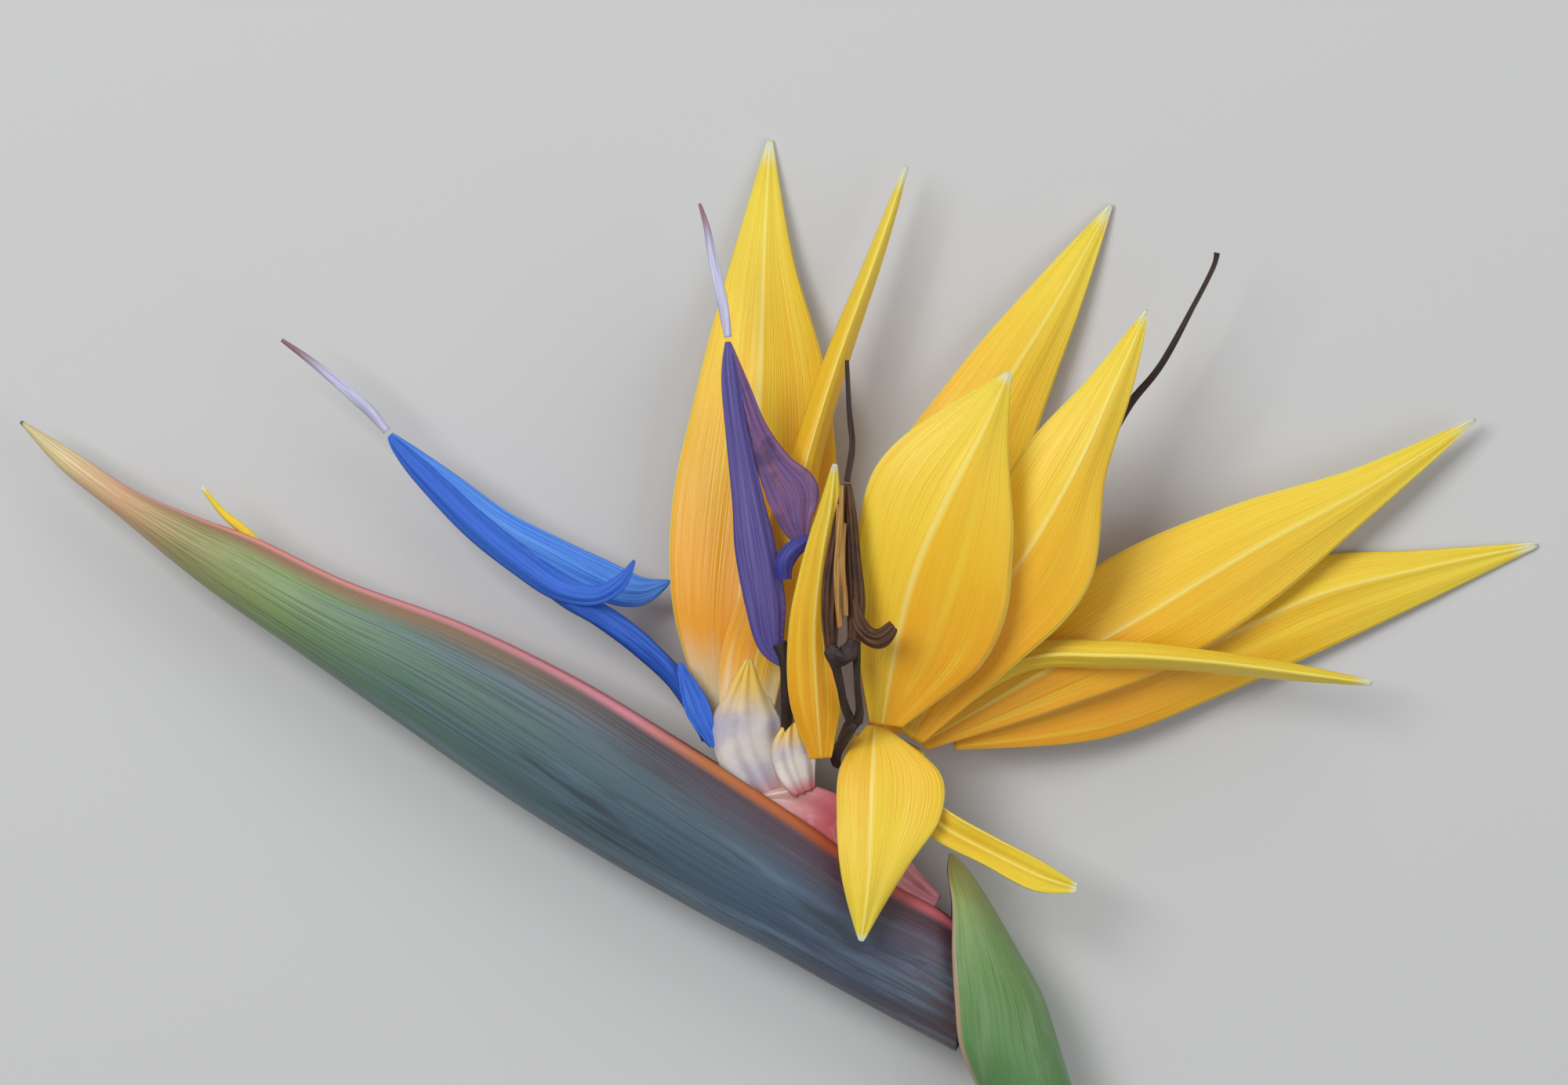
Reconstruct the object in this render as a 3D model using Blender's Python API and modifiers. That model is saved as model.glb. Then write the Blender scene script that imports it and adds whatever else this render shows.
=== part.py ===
"""Bird of paradise flower, cut and laid on its side on a flat surface.

Lengths are in millimetres, with the floor at Z = 0. The beak points to -X and the open flowers rise to +Y.
Every row of a table is one station, from the base of a piece to its tip.
"""

import math

import bpy
from mathutils import Vector

MM = 0.001
COLLECTION = "bird_of_paradise"
BOX_CENTRE = (-0.54, -44.4)  # subtracted from every X and Y, so that the part is centred on the origin

SEPAL_WALL = 1.0
SPATHE_WALL = 1.3
SHEATH_WALL = 0.8
BLADE_STEPS, BLADE_CELLS = 12, 6
HULL_STEPS, HULL_CELLS = 26, 14
POD_STEPS, POD_SIDES = 16, 10
STALK_STEPS = 10

# colour (linear), roughness
MATERIALS = {
    "sepal_yellow": ((0.96, 0.56, 0.02), 0.45),
    "spathe_skin": ((0.07, 0.12, 0.13), 0.5),
    "sheath_green": ((0.12, 0.25, 0.08), 0.5),
    "stem_green": ((0.13, 0.24, 0.09), 0.5),
    "bract_pink": ((0.50, 0.06, 0.09), 0.45),
    "base_white": ((0.62, 0.55, 0.50), 0.45),
    "nectary_blue": ((0.03, 0.12, 0.55), 0.5),
    "nectary_purple": ((0.09, 0.06, 0.22), 0.5),
    "stigma_pale": ((0.42, 0.42, 0.60), 0.5),
    "withered_brown": ((0.08, 0.03, 0.01), 0.7),
    "stamen_gold": ((0.35, 0.18, 0.03), 0.6),
}

# keel x, keel y, rim x, rim y, centre z, half width, gape (degrees from the keel to the rim), wall share
SPATHE = (
    (-121.9, 19.0, -121.6, 19.5, 11.0, 0.5, 172, 0.2),
    (-115.5, 11.8, -113.6, 14.8, 11.0, 1.6, 168, 0.3),
    (-106.6, 4.6, -104.1, 8.6, 11.0, 2.9, 164, 0.45),
    (-98.0, -2.6, -93.6, 4.1, 11.0, 4.3, 160, 0.6),
    (-89.9, -8.9, -83.9, 0.6, 11.0, 5.6, 154, 0.8),
    (-77.1, -17.8, -69.8, -6.1, 11.0, 7.4, 156, 1.0),
    (-61.3, -28.9, -51.1, -12.9, 11.0, 9.3, 158, 1.0),
    (-45.3, -40.0, -33.4, -21.4, 11.0, 10.6, 154, 1.0),
    (-29.4, -50.0, -17.4, -31.0, 11.0, 11.0, 146, 1.0),
    (-12.5, -59.6, -1.0, -41.5, 11.0, 11.0, 136, 1.0),
    (-2.4, -64.9, 8.4, -48.0, 11.0, 10.5, 132, 1.0),
    (7.3, -70.4, 17.4, -54.4, 11.0, 9.5, 132, 1.0),
    (18.1, -76.3, 25.2, -58.8, 11.0, 7.6, 142, 1.0),
    (27.4, -81.2, 29.4, -62.5, 11.0, 6.0, 148, 1.0),
)
SHEATH = (
    (26.9, -50.0, 26.3, -49.8, 11.0, 0.5, 90, 0.6),
    (29.6, -53.5, 26.1, -53.1, 11.0, 3.6, 100, 1.0),
    (32.8, -58.5, 27.0, -57.9, 11.0, 7.2, 108, 1.0),
    (37.0, -65.8, 27.0, -65.4, 11.0, 9.0, 114, 1.0),
    (40.6, -72.4, 27.4, -72.4, 11.0, 9.4, 116, 1.0),
    (43.1, -79.9, 28.3, -79.9, 10.9, 9.0, 128, 1.0),
    (45.1, -86.4, 31.2, -86.4, 10.4, 7.8, 150, 1.0),
    (47.6, -94.0, 34.6, -93.4, 9.4, 6.5, 168, 1.0),
    (49.4, -100.6, 36.9, -99.6, 8.6, 6.2, 172, 1.0),
)

# x, y, z, half width on the left of the direction of growth, on its right, drop of the edges below the rib
BLADES = {
    "sepal_1_tall": (
        (-9.6, -29.4, 10.8, 2.4, 2.4, 0.3),
        (-7.5, -12.3, 13.6, 10.0, 10.0, 1.6),
        (-5.0, 6.5, 12.0, 12.7, 13.2, 2.0),
        (-3.9, 25.3, 9.0, 9.9, 11.1, 2.0),
        (-3.2, 45.3, 5.0, 5.0, 4.6, 1.4),
        (-2.3, 64.6, 0.6, 0.3, 0.3, 0.0),
    ),
    "sepal_1_narrow": (
        (-6.6, -30.4, 15.4, 3.4, 4.0, 0.2),
        (-4.4, -18.5, 17.4, 5.6, 4.6, 1.0),
        (0.0, -3.5, 18.4, 4.7, 3.5, 2.0),
        (3.5, 12.8, 18.2, 2.4, 2.2, 3.6),
        (8.5, 29.0, 16.0, 1.9, 1.7, 4.0),
        (14.5, 45.3, 12.5, 1.2, 1.1, 2.4),
        (19.6, 60.1, 9.0, 0.3, 0.3, 0.0),
    ),
    "sepal_2_short": (
        (5.9, -34.2, 21.0, 1.8, 1.6, 0.2),
        (5.2, -24.8, 24.4, 4.2, 3.9, 1.0),
        (4.8, -13.5, 26.4, 4.0, 3.0, 1.4),
        (5.8, -3.5, 27.4, 3.0, 2.0, 1.4),
        (7.3, 5.2, 28.0, 1.7, 1.4, 1.0),
        (8.0, 12.4, 28.0, 0.3, 0.3, 0.0),
    ),
    "sepal_2_front": (
        (15.6, -28.8, 20.2, 2.0, 3.2, 0.3),
        (17.4, -17.5, 24.4, 5.8, 13.4, 1.2),
        (20.6, -4.8, 28.0, 9.8, 15.6, 1.8),
        (25.6, 6.5, 30.4, 12.6, 12.1, 2.0),
        (31.5, 17.8, 32.0, 7.2, 4.2, 1.5),
        (35.5, 26.9, 33.0, 0.3, 0.3, 0.0),
    ),
    "sepal_2_back": (
        (15.8, -31.2, 12.5, 1.9, 2.0, 0.2),
        (18.8, -11.0, 10.2, 8.0, 8.0, 1.5),
        (25.0, 5.2, 9.0, 10.6, 10.0, 2.0),
        (33.7, 22.7, 7.4, 7.8, 8.1, 2.0),
        (43.1, 37.7, 4.6, 5.0, 4.2, 1.4),
        (52.5, 54.2, 0.6, 0.3, 0.3, 0.0),
    ),
    "sepal_3_upright": (
        (20.2, -31.0, 15.5, 1.8, 2.0, 0.2),
        (29.4, -14.8, 20.8, 7.0, 8.7, 1.2),
        (38.8, -1.0, 24.0, 8.5, 11.0, 1.8),
        (46.9, 12.8, 25.8, 8.5, 4.6, 1.8),
        (52.5, 25.3, 25.6, 3.8, 2.8, 1.4),
        (57.6, 36.9, 24.0, 0.3, 0.3, 0.0),
    ),
    "sepal_3_droop": (
        (14.4, -29.2, 18.3, 1.4, 1.2, 0.2),
        (14.0, -36.0, 22.4, 10.6, 5.0, 1.0),
        (13.7, -43.5, 24.6, 11.2, 5.4, 1.2),
        (13.5, -51.0, 26.0, 6.0, 4.6, 1.4),
        (13.0, -57.2, 26.2, 2.7, 2.9, 1.2),
        (12.2, -63.1, 25.6, 0.3, 0.3, 0.0),
    ),
    "sepal_3_channel": (
        (16.6, -35.4, 18.2, 1.2, 1.2, -0.2),
        (20.4, -40.4, 20.4, 1.8, 1.8, -0.4),
        (25.0, -45.0, 21.0, 2.6, 2.4, -0.8),
        (32.8, -49.2, 20.6, 2.4, 2.2, -1.0),
        (40.6, -53.0, 20.6, 2.2, 2.4, -0.8),
        (46.5, -54.9, 19.8, 0.7, 0.7, -0.2),
    ),
    "sepal_4_upper": (
        (22.0, -32.0, 12.7, 1.4, 1.2, 0.2),
        (40.6, -21.2, 12.2, 8.0, 6.2, 1.4),
        (57.5, -11.6, 11.6, 10.4, 9.0, 2.0),
        (75.0, -1.0, 9.6, 7.8, 8.6, 2.0),
        (93.1, 8.7, 7.0, 3.6, 3.9, 1.4),
        (110.7, 19.7, 4.0, 0.3, 0.3, 0.0),
    ),
    "sepal_4_lower": (
        (27.0, -31.6, 10.4, 1.5, 1.5, 0.2),
        (48.8, -24.8, 7.4, 7.0, 6.8, 1.4),
        (67.5, -16.6, 5.6, 8.0, 8.3, 2.0),
        (85.0, -8.5, 4.0, 6.0, 8.4, 2.0),
        (103.1, -3.9, 2.2, 2.6, 5.0, 1.0),
        (120.7, -0.4, 0.5, 0.3, 0.3, 0.0),
    ),
    "sepal_4_narrow": (
        (23.2, -28.6, 14.4, 1.2, 1.1, 0.5),
        (37.5, -18.9, 16.4, 1.9, 1.7, 1.6),
        (51.9, -18.0, 18.2, 2.2, 1.9, 3.4),
        (66.2, -18.8, 18.2, 1.6, 1.6, 4.0),
        (80.0, -20.5, 16.4, 1.2, 1.2, 2.8),
        (93.6, -22.4, 14.0, 0.3, 0.3, 0.0),
    ),
    "hood_petal_1": (
        (-11.0, -32.3, 14.8, 0.8, 0.8, 0.1),
        (-12.7, -29.0, 15.0, 1.6, 1.6, 0.2),
        (-14.2, -25.5, 15.0, 1.9, 1.9, 0.3),
        (-16.0, -21.0, 14.8, 0.9, 0.9, 0.1),
        (-16.6, -19.3, 14.6, 0.3, 0.3, 0.0),
    ),
    "inner_bract": (
        (-4.0, -41.5, 15.2, 1.5, 2.0, 0.2),
        (2.0, -44.0, 16.3, 6.0, 1.8, 0.4),
        (9.0, -49.0, 16.6, 7.5, 1.6, 0.4),
        (17.0, -54.5, 15.6, 5.0, 1.4, 0.4),
        (24.0, -58.0, 14.0, 2.0, 1.0, 0.2),
    ),
}

# x, y, z, half width in plan, half depth
PODS = {
    "nectary_1": (
        (-12.0, -31.6, 11.4, 0.8, 0.8),
        (-14.4, -26.0, 11.8, 1.3, 1.1),
        (-17.8, -20.1, 12.0, 1.6, 1.4),
        (-23.1, -15.4, 12.3, 1.8, 1.6),
        (-28.8, -10.2, 12.5, 2.2, 1.9),
        (-33.4, -6.1, 12.6, 4.4, 3.6),
        (-41.3, -1.4, 12.7, 3.7, 2.9),
        (-49.3, 3.6, 12.8, 3.1, 2.3),
        (-57.3, 10.7, 12.9, 2.2, 1.6),
        (-62.9, 17.0, 13.0, 0.8, 0.8),
    ),
    "nectary_2": (
        (0.3, -31.2, 16.8, 0.8, 0.8),
        (0.2, -24.5, 20.6, 0.9, 0.9),
        (-0.3, -19.1, 22.0, 1.3, 1.2),
        (-1.9, -14.6, 22.6, 2.8, 2.2),
        (-3.1, -5.0, 23.0, 3.9, 2.6),
        (-2.2, 4.0, 23.0, 5.4, 2.6),
        (-4.2, 13.1, 22.8, 4.3, 2.2),
        (-6.9, 21.5, 22.4, 2.6, 1.8),
        (-8.4, 29.0, 22.0, 1.4, 1.2),
        (-8.8, 32.0, 21.8, 0.7, 0.7),
    ),
    "nectary_3": (
        (8.4, -35.4, 17.9, 0.8, 0.8),
        (9.2, -31.6, 21.6, 0.9, 0.9),
        (10.4, -28.6, 25.0, 1.2, 1.1),
        (9.8, -24.8, 28.0, 1.5, 1.1),
        (9.3, -19.8, 29.8, 1.6, 1.2),
        (9.0, -17.0, 30.6, 2.4, 1.6),
        (9.3, -12.3, 31.2, 3.0, 1.8),
        (8.8, -4.8, 31.4, 2.7, 1.7),
        (9.4, 4.0, 31.4, 1.5, 1.3),
        (10.0, 9.1, 31.2, 0.7, 0.7),
    ),
    "nectary_4": (
        (24.2, -25.2, 13.5, 0.7, 0.7),
        (28.8, -18.5, 14.6, 1.1, 0.9),
        (33.6, -11.5, 15.2, 1.7, 1.2),
        (40.0, -2.9, 16.0, 2.6, 1.8),
        (46.3, 6.5, 16.5, 1.8, 1.4),
        (51.0, 14.6, 16.5, 0.7, 0.7),
    ),
}
# nectary, the share of its length at which a barb leaves it, side of the ring, and the barb's point
BARBS = (
    ("nectary_1", 0.55, 3, (-23.6, -2.5, 17.6)),
    ("nectary_1", 0.55, 2, (-18.1, -6.1, 8.6)),
    ("nectary_2", 0.55, 0, (5.2, 7.6, 23.6)),
    ("nectary_3", 0.62, 0, (17.5, -13.1, 32.0)),
)

# x, y, z, radius
STALKS = {
    "stem": (
        (59.0, -152.0, 5.2, 5.2),
        (50.6, -125.0, 6.2, 5.1),
        (42.9, -100.0, 8.6, 4.7),
        (40.9, -93.5, 9.5, 4.7),
        (38.0, -85.6, 10.4, 4.8),
        (34.8, -77.6, 11.0, 4.7),
        (30.0, -71.2, 11.0, 4.0),
        (24.0, -67.6, 11.0, 3.2),
    ),
    "pedicel_1": (
        (0.6, -47.4, 10.6, 1.9),
        (-3.6, -41.4, 11.6, 2.6),
        (-6.8, -35.2, 11.8, 3.1),
        (-8.4, -31.0, 11.8, 3.0),
    ),
    "pedicel_2": (
        (7.6, -51.0, 11.0, 1.8),
        (3.8, -43.4, 11.6, 2.4),
        (0.8, -36.8, 12.6, 2.9),
        (0.4, -32.8, 13.8, 2.6),
    ),
    "pedicel_3": (
        (15.6, -56.0, 11.2, 1.8),
        (11.8, -48.4, 11.8, 2.3),
        (10.8, -41.0, 13.0, 2.6),
        (12.0, -35.6, 14.6, 2.8),
        (13.6, -31.4, 15.8, 2.5),
    ),
    "pedicel_4": (
        (19.0, -57.0, 9.6, 1.8),
        (17.6, -50.0, 9.8, 2.3),
        (17.2, -43.4, 10.4, 2.5),
        (18.4, -37.0, 11.4, 2.6),
        (20.4, -32.6, 12.4, 2.2),
    ),
    "bud_5": (
        (-58.0, -20.6, 11.0, 2.0),
        (-71.0, -10.6, 11.0, 1.8),
        (-81.9, -2.0, 11.4, 0.9),
        (-86.3, 2.1, 12.0, 0.8),
        (-89.6, 4.9, 12.2, 0.6),
        (-92.8, 8.8, 12.2, 0.3),
    ),
    "stigma_1": (
        (-63.3, 17.8, 13.1, 0.7),
        (-66.5, 21.5, 13.4, 0.9),
        (-71.3, 25.6, 13.8, 0.8),
        (-76.3, 29.6, 14.2, 0.55),
        (-80.0, 32.3, 14.4, 0.3),
    ),
    "stigma_2": (
        (-8.9, 32.6, 21.8, 0.6),
        (-9.6, 37.5, 21.6, 0.85),
        (-11.4, 45.3, 21.0, 0.75),
        (-12.3, 50.3, 20.4, 0.5),
        (-13.4, 53.8, 19.8, 0.25),
    ),
    "stigma_3": (
        (10.0, 9.6, 31.2, 0.45),
        (10.7, 14.8, 30.6, 0.45),
        (10.4, 20.4, 29.6, 0.4),
        (9.9, 28.8, 28.4, 0.3),
    ),
    "stigma_4": (
        (51.4, 15.3, 16.5, 0.5),
        (55.0, 22.1, 17.0, 0.6),
        (60.0, 28.4, 17.5, 0.5),
        (64.6, 36.5, 17.5, 0.4),
        (68.1, 43.4, 17.0, 0.35),
        (68.8, 46.1, 17.0, 0.45),
    ),
    "stamens_3": (
        (9.2, 3.2, 33.4, 0.4),
        (8.8, -4.8, 33.9, 0.5),
        (9.2, -12.6, 33.7, 0.5),
    ),
}

SLOTS = {
    "stem": "stem_green",
    "sheath": "sheath_green",
    "spathe": "spathe_skin",
    "inner_bract": "bract_pink",
    "hood_petal_1": "nectary_blue",
    "nectary_1": "nectary_blue",
    "nectary_2": "nectary_purple",
    "nectary_3": "withered_brown",
    "nectary_4": "withered_brown",
    "stigma_1": "stigma_pale",
    "stigma_2": "stigma_pale",
    "stigma_3": "withered_brown",
    "stigma_4": "withered_brown",
    "stamens_3": "stamen_gold",
    "bud_5": "base_white",
}


def slot_of(name):
    """The material slot of a node: sepals and flower stalks go by the first word of their names."""
    if name.startswith("sepal"):
        return "sepal_yellow"
    if name.startswith("pedicel"):
        return "base_white"
    return SLOTS[name]


def clear_scene():
    for thing in list(bpy.data.objects):
        bpy.data.objects.remove(thing)


def new_material(name):
    colour, roughness = MATERIALS[name]
    material = bpy.data.materials.new(name)
    material.use_nodes = True
    shader = material.node_tree.nodes["Principled BSDF"]
    shader.inputs["Base Color"].default_value = (*colour, 1.0)
    shader.inputs["Roughness"].default_value = roughness
    material.diffuse_color = (*colour, 1.0)
    return material


def along(rows, share):
    """A row between the stations, at this share of the way from the first to the last, on a smooth curve."""
    place = min(max(share, 0.0), 1.0) * (len(rows) - 1)
    index = min(int(place), len(rows) - 2)
    rest = place - index
    before = rows[max(index - 1, 0)]
    start, end = rows[index], rows[index + 1]
    after = rows[min(index + 2, len(rows) - 1)]
    return [
        b + 0.5 * rest * (c - a + rest * (2 * a - 5 * b + 4 * c - d + rest * (3 * (b - c) + d - a)))
        for a, b, c, d in zip(before, start, end, after)
    ]


def world(x, y, z):
    return Vector((x - BOX_CENTRE[0], y - BOX_CENTRE[1], z)) * MM


def heading(rows, share):
    """The direction of growth in plan at this share of the length."""
    step = 0.01
    first, last = along(rows, share - step), along(rows, share + step)
    return Vector((last[0] - first[0], last[1] - first[1], 0.0)).normalized()


def new_object(name, data):
    thing = bpy.data.objects.new(name, data)
    bpy.data.collections[COLLECTION].objects.link(thing)
    data.materials.append(bpy.data.materials[slot_of(name)])
    return thing


def sheet(name, grid, wall, shares=None):
    """A grid of points as an open surface, given its wall by Solidify. shares scales the wall row by row."""
    across = len(grid[0])
    faces = [
        (r * across + c, r * across + c + 1, (r + 1) * across + c + 1, (r + 1) * across + c)
        for r in range(len(grid) - 1)
        for c in range(across - 1)
    ]
    mesh = bpy.data.meshes.new(name)
    mesh.from_pydata([point for row in grid for point in row], [], faces)
    mesh.shade_smooth()
    thing = new_object(name, mesh)
    solidify = thing.modifiers.new("wall", "SOLIDIFY")
    solidify.thickness = wall * MM
    solidify.offset = 0.0 if shares is None else 1.0
    if shares is not None:
        group = thing.vertex_groups.new(name="wall")
        for r, share in enumerate(shares):
            group.add(range(r * across, (r + 1) * across), share, "REPLACE")
        solidify.vertex_group = group.name
    return thing


def blade(name, rows):
    """A sepal or bract: a ribbon on both sides of its rib, with its edges below the rib."""
    grid = []
    for step in range(BLADE_STEPS + 1):
        share = step / BLADE_STEPS
        x, y, z, left, right, drop = along(rows, share)
        ahead = heading(rows, share)
        side = Vector((-ahead.y, ahead.x, 0.0))
        line = []
        for cell in range(BLADE_CELLS + 1):
            reach = 2.0 * cell / BLADE_CELLS - 1.0
            width = left if reach < 0 else right
            offset = side * -reach * width
            line.append(world(x + offset.x, y + offset.y, z - drop * abs(reach) ** 1.6))
        grid.append(line)
    return sheet(name, grid, SEPAL_WALL)


def hull(name, rows, wall):
    """A boat-shaped bract: keel and rim are given in plan, and the sides bulge up and down from them."""
    grid = []
    shares = []
    for step in range(HULL_STEPS + 1):
        keel_x, keel_y, rim_x, rim_y, centre, half, gape, share = along(rows, step / HULL_STEPS)
        keel, rim = Vector((keel_x, keel_y)), Vector((rim_x, rim_y))
        line = []
        for cell in range(HULL_CELLS + 1):
            angle = math.radians(gape) * (2.0 * cell / HULL_CELLS - 1.0)
            height = (1.0 - math.cos(angle)) / (1.0 - math.cos(math.radians(gape)))
            place = keel.lerp(rim, height)
            line.append(world(place.x, place.y, centre + half * math.sin(angle)))
        grid.append(line)
        shares.append(min(max(share, 0.1), 1.0))
    return sheet(name, grid, wall, shares)


def pod(name, rows):
    """A closed spindle through elliptical rings, with its barbs pulled out of one ring."""
    rings = []
    for step in range(POD_STEPS + 1):
        share = step / POD_STEPS
        x, y, z, half_width, half_depth = along(rows, share)
        ahead = heading(rows, share)
        side = Vector((ahead.y, -ahead.x, 0.0))
        ring = []
        for number in range(POD_SIDES):
            angle = math.tau * number / POD_SIDES
            offset = side * half_width * math.cos(angle)
            ring.append(world(x + offset.x, y + offset.y, z + half_depth * math.sin(angle)))
        rings.append(ring)
    for owner, share, side_number, point in BARBS:
        if owner == name:
            rings[round(share * POD_STEPS)][side_number] = world(*point)
    faces = [
        (r * POD_SIDES + (n + 1) % POD_SIDES, r * POD_SIDES + n,
         (r + 1) * POD_SIDES + n, (r + 1) * POD_SIDES + (n + 1) % POD_SIDES)
        for r in range(POD_STEPS)
        for n in range(POD_SIDES)
    ]
    faces.append(tuple(range(POD_SIDES)))
    faces.append(tuple(reversed(range(POD_STEPS * POD_SIDES, (POD_STEPS + 1) * POD_SIDES))))
    mesh = bpy.data.meshes.new(name)
    mesh.from_pydata([point for ring in rings for point in ring], [], faces)
    mesh.shade_smooth()
    return new_object(name, mesh)


def stalk(name, rows):
    """A round stalk that tapers along its line."""
    curve = bpy.data.curves.new(name, "CURVE")
    curve.dimensions = "3D"
    curve.bevel_depth = MM
    curve.bevel_resolution = 2
    curve.use_fill_caps = True
    line = curve.splines.new("POLY")
    line.points.add(STALK_STEPS)
    for step, point in enumerate(line.points):
        x, y, z, radius = along(rows, step / STALK_STEPS)
        point.co = (*world(x, y, z), 1.0)
        point.radius = radius
    return new_object(name, curve)


def build():
    clear_scene()
    bpy.context.scene.collection.children.link(bpy.data.collections.new(COLLECTION))
    for name in MATERIALS:
        new_material(name)
    hull("spathe", SPATHE, SPATHE_WALL)
    hull("sheath", SHEATH, SHEATH_WALL)
    for name, rows in BLADES.items():
        blade(name, rows)
    for name, rows in PODS.items():
        pod(name, rows)
    for name, rows in STALKS.items():
        stalk(name, rows)


build()
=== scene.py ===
"""Looks of the bird of paradise flower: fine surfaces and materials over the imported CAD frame.

Lengths in the tables are in millimetres, with the floor at Z = 0. A row of a table is one station.
"""

import math

import bpy
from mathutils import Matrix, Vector

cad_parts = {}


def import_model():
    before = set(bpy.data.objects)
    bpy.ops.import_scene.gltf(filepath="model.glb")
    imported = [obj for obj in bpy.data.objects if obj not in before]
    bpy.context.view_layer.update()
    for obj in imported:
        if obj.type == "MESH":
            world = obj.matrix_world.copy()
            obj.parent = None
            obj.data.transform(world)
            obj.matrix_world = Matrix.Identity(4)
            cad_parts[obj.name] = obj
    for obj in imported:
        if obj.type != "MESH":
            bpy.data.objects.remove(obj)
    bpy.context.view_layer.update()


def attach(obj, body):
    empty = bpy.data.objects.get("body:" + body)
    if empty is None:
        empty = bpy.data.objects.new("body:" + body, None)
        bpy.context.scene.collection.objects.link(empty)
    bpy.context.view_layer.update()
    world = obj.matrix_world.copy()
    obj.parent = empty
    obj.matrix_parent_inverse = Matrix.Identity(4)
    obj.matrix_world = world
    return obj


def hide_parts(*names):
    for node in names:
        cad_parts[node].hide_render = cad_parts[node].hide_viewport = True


MM = 0.001
BOX_CENTRE = (-0.54, -44.4)

BLADE_STEPS, BLADE_CELLS = 96, 28
HULL_STEPS, HULL_CELLS = 200, 64
STALK_STEPS = 40
PETAL_WALL = 0.5
RIB_HEIGHT = 0.22
RIB_WIDTH = 0.1  # share of the half width
DROP_POWER = 1.6
BEAD_COUNT = BLADE_STEPS / 3.0
STAMEN_Z, STAMEN_ARCH, STAMEN_BEND = 32.4, 0.9, 0.25
FLOOR_REACH = 3.0
CAMERA_HEIGHT = 2.0
PICTURE_WIDTH = 0.25
PICTURE_PLANE = 0.012

# keel x, keel y, rim x, rim y, centre z, half width,
# gape (degrees from the keel to the rim), wall share
SPATHE = (
    (-121.9, 19.0, -121.6, 19.5, 11.0, 0.5, 172, 0.2),
    (-115.5, 11.8, -113.6, 14.8, 11.0, 1.6, 168, 0.3),
    (-106.6, 4.6, -104.1, 8.6, 11.0, 2.9, 164, 0.45),
    (-98.0, -2.6, -93.6, 4.1, 11.0, 4.3, 160, 0.6),
    (-89.9, -8.9, -83.9, 0.6, 11.0, 5.6, 154, 0.8),
    (-77.1, -17.8, -69.8, -6.1, 11.0, 7.4, 156, 1.0),
    (-61.3, -28.9, -51.1, -12.9, 11.0, 9.3, 158, 1.0),
    (-45.3, -40.0, -33.4, -21.4, 11.0, 10.6, 154, 1.0),
    (-29.4, -50.0, -17.4, -31.0, 11.0, 11.0, 146, 1.0),
    (-12.5, -59.6, -1.0, -41.5, 11.0, 11.0, 136, 1.0),
    (-2.4, -64.9, 8.4, -48.0, 11.0, 10.5, 132, 1.0),
    (7.3, -70.4, 17.4, -54.4, 11.0, 9.5, 132, 1.0),
    (18.1, -76.3, 25.2, -58.8, 11.0, 7.6, 142, 1.0),
    (27.4, -81.2, 29.4, -62.5, 11.0, 6.0, 148, 1.0),
)
SHEATH = (
    (26.9, -50.0, 26.3, -49.8, 11.0, 0.5, 90, 0.6),
    (29.6, -53.5, 26.1, -53.1, 11.0, 3.6, 100, 1.0),
    (32.8, -58.5, 27.0, -57.9, 11.0, 7.2, 108, 1.0),
    (37.0, -65.8, 27.0, -65.4, 11.0, 9.0, 114, 1.0),
    (40.6, -72.4, 27.4, -72.4, 11.0, 9.4, 116, 1.0),
    (43.1, -79.9, 28.3, -79.9, 10.9, 9.0, 128, 1.0),
    (45.1, -86.4, 31.2, -86.4, 10.4, 7.8, 150, 1.0),
    (47.6, -94.0, 34.6, -93.4, 9.4, 6.5, 168, 1.0),
    (49.4, -100.6, 36.9, -99.6, 8.6, 6.2, 172, 1.0),
)

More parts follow.
